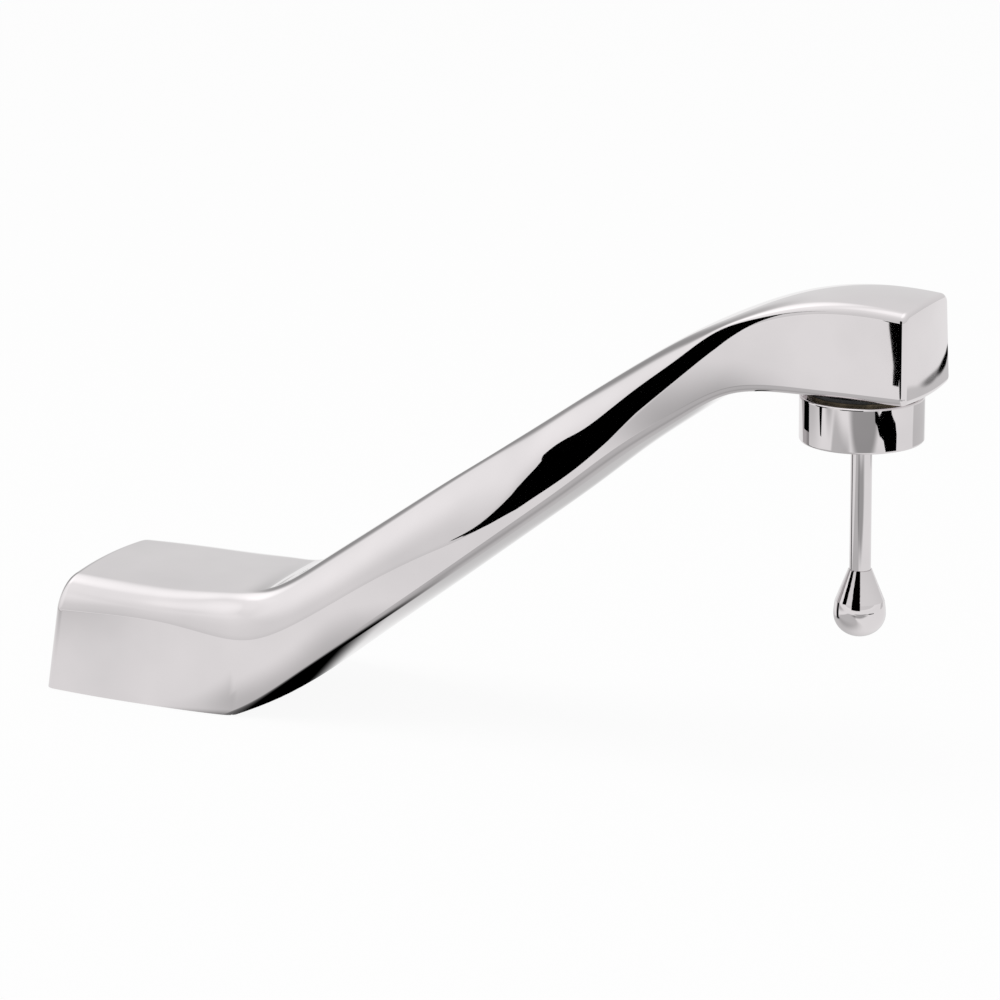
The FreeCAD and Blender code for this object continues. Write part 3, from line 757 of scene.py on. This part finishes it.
def zone_share(tree, coords, zone):
    """What a zone leaves of the light, everywhere on the table."""
    centre, half, turn, square_by, left, rim = zone
    place = tree.nodes.new("ShaderNodeMapping")
    place.vector_type = "TEXTURE"
    place.inputs["Location"].default_value = (*centre, 0.0)
    place.inputs["Rotation"].default_value = (0.0, 0.0, math.radians(turn))
    place.inputs["Scale"].default_value = (*half, 1.0)
    tree.links.new(coords.outputs["Object"], place.inputs["Vector"])
    split = tree.nodes.new("ShaderNodeSeparateXYZ")
    tree.links.new(place.outputs["Vector"], split.inputs["Vector"])
    powers = []
    for axis in "XY":
        size = maths(tree, "ABSOLUTE", split.outputs[axis], 0.0)
        powers.append(maths(tree, "POWER", size, square_by))
    far = maths(tree, "POWER", maths(tree, "ADD", powers[0], powers[1]), 1.0 / square_by)
    fade = add(tree, "ShaderNodeMapRange")
    fade.interpolation_type = "SMOOTHSTEP"
    fade.inputs["From Min"].default_value = 1.0 - rim
    fade.inputs["From Max"].default_value = 1.0 + rim
    fade.inputs["To Min"].default_value = left
    fade.inputs["To Max"].default_value = 1.0
    tree.links.new(far, fade.inputs["Value"])
    return fade.outputs["Result"]


def table_card():
    """The table as reflections see it, with its darker zones and its painted shadow under the toe."""
    m, tree, out = empty_material("table_card")
    coords = tree.nodes.new("ShaderNodeTexCoord")
    level = TABLE_LEVEL
    for zone in ZONES_WITH_PAINTED_SHADOW:
        level = maths(tree, "MULTIPLY", zone_share(tree, coords, zone), level)
    glow = add(tree, "ShaderNodeEmission", Color=WHITE)
    tree.links.new(level, glow.inputs["Strength"])
    tree.links.new(glow.outputs["Emission"], out.inputs["Surface"])
    piece = staged_mesh("table_card", square(TABLE_HALF, 0.0), True)
    piece.location.z = TABLE_Z
    piece.data.materials.append(m)


# Light of the room as reflections see it: height of the direction and level, then single directions with
# how far round them they reach in degrees and what they add or take away
ROOM = [(-1.0, 0.60), (-0.17, 0.68), (0.0, 0.78), (0.34, 0.84), (0.64, 0.90), (0.77, 0.96), (0.87, 1.08),
        (0.94, 1.35), (1.0, 1.42)]
ROOM_TOP = 1.5
GLOWS = [
    ((-0.460, -0.100, 0.880), 24.0, -0.12),
    ((-0.848, 0.0, 0.530), 40.0, 0.24),
    ((-0.620, 0.485, 0.616), 20.0, 0.42),
    ((-0.760, 0.636, 0.139), 22.0, -0.45),
]


def room_level(tree):
    """Level of the room by direction."""
    coords = tree.nodes.new("ShaderNodeTexCoord")
    split = tree.nodes.new("ShaderNodeSeparateXYZ")
    tree.links.new(coords.outputs["Generated"], split.inputs["Vector"])
    ramp = tree.nodes.new("ShaderNodeValToRGB")
    stops = ramp.color_ramp.elements
    while len(stops) < len(ROOM):
        stops.new(1.0)
    for stop, (z, level) in zip(stops, ROOM):
        stop.position = (z + 1.0) / 2.0
        stop.color = (level / ROOM_TOP, level / ROOM_TOP, level / ROOM_TOP, 1.0)
    place = maths(tree, "MULTIPLY", maths(tree, "ADD", split.outputs["Z"], 1.0), 0.5)
    tree.links.new(place, ramp.inputs["Fac"])
    level = maths(tree, "MULTIPLY", ramp.outputs["Color"], ROOM_TOP)
    for towards, reach, gain in GLOWS:
        near = tree.nodes.new("ShaderNodeVectorMath")
        near.operation = "DOT_PRODUCT"
        near.inputs[1].default_value = Vector(towards).normalized()
        tree.links.new(coords.outputs["Generated"], near.inputs[0])
        spot = tree.nodes.new("ShaderNodeMapRange")
        spot.interpolation_type = "SMOOTHSTEP"
        spot.inputs["From Min"].default_value = math.cos(math.radians(reach))
        spot.inputs["From Max"].default_value = 1.0
        spot.inputs["To Max"].default_value = gain
        tree.links.new(near.outputs["Value"], spot.inputs["Value"])
        level = maths(tree, "ADD", level, spot.outputs["Result"])
    return level


def studio_world():
    """Backdrop for the camera, room for reflections and fill light for the rest."""
    world = bpy.data.worlds.new("studio")
    scene.world = world
    world.use_nodes = True
    tree = world.node_tree
    tree.nodes.clear()
    out = tree.nodes.new("ShaderNodeOutputWorld")
    path = tree.nodes.new("ShaderNodeLightPath")
    fill = add(tree, "ShaderNodeBackground", Color=WHITE, Strength=FILL_LEVEL)
    backdrop = add(tree, "ShaderNodeBackground", Color=WHITE, Strength=1.0)
    room = add(tree, "ShaderNodeBackground", Color=WHITE)
    tree.links.new(room_level(tree), room.inputs["Strength"])
    shown = tree.nodes.new("ShaderNodeMixShader")
    tree.links.new(path.outputs["Is Glossy Ray"], shown.inputs["Fac"])
    tree.links.new(backdrop.outputs["Background"], shown.inputs[1])
    tree.links.new(room.outputs["Background"], shown.inputs[2])
    mix = tree.nodes.new("ShaderNodeMixShader")
    tree.links.new(seen_rays(tree), mix.inputs["Fac"])
    tree.links.new(fill.outputs["Background"], mix.inputs[1])
    tree.links.new(shown.outputs["Shader"], mix.inputs[2])
    tree.links.new(mix.outputs["Shader"], out.inputs["Surface"])


def softbox(name, place, aim, width, height, power):
    """Area lamp that reflections don't see."""
    data = bpy.data.lights.new(name, "AREA")
    data.shape = "RECTANGLE"
    data.size = width
    data.size_y = height
    data.energy = power
    lamp = bpy.data.objects.new(name, data)
    lamp.location = place
    lamp.rotation_euler = (Vector(aim) - Vector(place)).to_track_quat("-Z", "Y").to_euler()
    lamp.visible_glossy = False
    scene.collection.objects.link(lamp)


soft_floor()
table_card()
studio_world()
softbox("key", place=(0.05, -0.15, 1.5), aim=(0.05, -0.05, 0.0), width=1.2, height=0.9, power=11.0)

# Black flags stand upright 60 mm from the shank's axis, on the camera's side of the tap. The long one draws
# the streak down the arm. Their corners are along the plane and up, in metres.
FLAG_FACES = math.radians(-105.0)
FLAG_AWAY = 0.060
STREAK_FLAG = [(0.078, 0.047), (0.086, 0.048), (0.088, 0.052), (0.092, 0.058), (0.098, 0.064),
               (0.099, 0.074), (0.107, 0.080), (0.116, 0.086), (0.120, 0.096), (0.122, 0.108),
               (0.125, 0.120), (0.128, 0.134), (0.140, 0.150), (0.036, 0.150), (0.030, 0.134),
               (0.024, 0.124), (0.020, 0.118), (0.021, 0.112), (0.028, 0.107), (0.036, 0.102),
               (0.041, 0.096), (0.044, 0.085), (0.048, 0.080), (0.048, 0.075), (0.052, 0.070),
               (0.056, 0.065), (0.062, 0.060), (0.066, 0.055), (0.072, 0.050)]
EDGE_FLAG = [(0.1690, 0.0760), (0.1850, 0.0790), (0.1850, 0.1020), (0.1638, 0.1020), (0.1643, 0.0905),
             (0.1652, 0.0859), (0.1661, 0.0813), (0.1663, 0.0766)]


def on_flag_plane(a, z, lift=0.0):
    """Place along the flags' plane and up, lifted off it by a little."""
    away = FLAG_AWAY + lift
    return (math.cos(FLAG_FACES) * away - math.sin(FLAG_FACES) * a,
            math.sin(FLAG_FACES) * away + math.cos(FLAG_FACES) * a, z)


def soft_patch(name, centre, half, level, share, rim, lift):
    """Round card with a soft rim on the flags' plane."""
    m, tree, out = empty_material(name)
    coords = tree.nodes.new("ShaderNodeTexCoord")
    far = tree.nodes.new("ShaderNodeVectorMath")
    far.operation = "DISTANCE"
    far.inputs[1].default_value = (0.5, 0.5, 0.0)
    tree.links.new(coords.outputs["UV"], far.inputs[0])
    fade = add(tree, "ShaderNodeMapRange")
    fade.interpolation_type = "SMOOTHSTEP"
    fade.inputs["From Min"].default_value = 0.5 - rim
    fade.inputs["From Max"].default_value = 0.5
    fade.inputs["To Min"].default_value = share
    fade.inputs["To Max"].default_value = 0.0
    tree.links.new(far.outputs["Value"], fade.inputs["Value"])
    glow = add(tree, "ShaderNodeEmission", Color=WHITE, Strength=level)
    clear = add(tree, "ShaderNodeBsdfTransparent", Color=WHITE)
    mix = tree.nodes.new("ShaderNodeMixShader")
    tree.links.new(fade.outputs["Result"], mix.inputs["Fac"])
    tree.links.new(clear.outputs["BSDF"], mix.inputs[1])
    tree.links.new(glow.outputs["Emission"], mix.inputs[2])
    tree.links.new(mix.outputs["Shader"], out.inputs["Surface"])
    signs = ((-1, -1), (1, -1), (1, 1), (-1, 1))
    corners = [on_flag_plane(centre[0] + i * half[0], centre[1] + j * half[1], lift) for i, j in signs]
    piece = staged_mesh(name, corners, True)
    layer = piece.data.uv_layers.new(name="UVMap")
    for loop, (i, j) in zip(layer.data, signs):
        loop.uv = ((i + 1) / 2, (j + 1) / 2)
    piece.data.materials.append(m)


card("streak_flag", [on_flag_plane(a, z) for a, z in STREAK_FLAG], BLACK)
card("edge_flag", [on_flag_plane(a, z) for a, z in EDGE_FLAG], BLACK)
soft_patch("lower_fade", centre=(0.122, 0.067), half=(0.030, 0.016), level=0.42, share=0.9, rim=0.4,
           lift=0.0005)


def standing(name, azimuths, away, low, high, level):
    """Upright flat card between two directions from the outlet's axis."""
    ends = []
    for azimuth in azimuths:
        turn = math.radians(azimuth)
        ends.append((REACH * MM + away * math.cos(turn), away * math.sin(turn)))
    card(name, [(*ends[0], low), (*ends[1], low), (*ends[1], high), (*ends[0], high)], level)


standing("knob_flag", azimuths=(-103.0, -64.0), away=0.40, low=0.03, high=0.26, level=BLACK)
# black card under the head beside the collar: painted shade for the collar to mirror
standing("collar_painted_shade_card", azimuths=(-166.0, -150.0), away=0.024, low=0.0765, high=0.0875, level=BLACK)

# The curved dark shape that the collar mirrors lies on the table, in front of the outlet
COLLAR_SHAPE = [(0.484, -0.004), (0.496, -0.020), (0.500, -0.066), (0.512, -0.084), (0.508, -0.130),
                (0.482, -0.150), (0.462, -0.175), (0.444, -0.195), (0.432, -0.222), (0.420, -0.240),
                (0.412, -0.225), (0.424, -0.205), (0.430, -0.180), (0.440, -0.160), (0.447, -0.140),
                (0.446, -0.118), (0.446, -0.098), (0.450, -0.080), (0.455, -0.050), (0.458, -0.010)]
COLLAR_SHAPE_Z = 0.0001
card("collar_shape", [(x, y, COLLAR_SHAPE_Z) for x, y in COLLAR_SHAPE], BLACK)
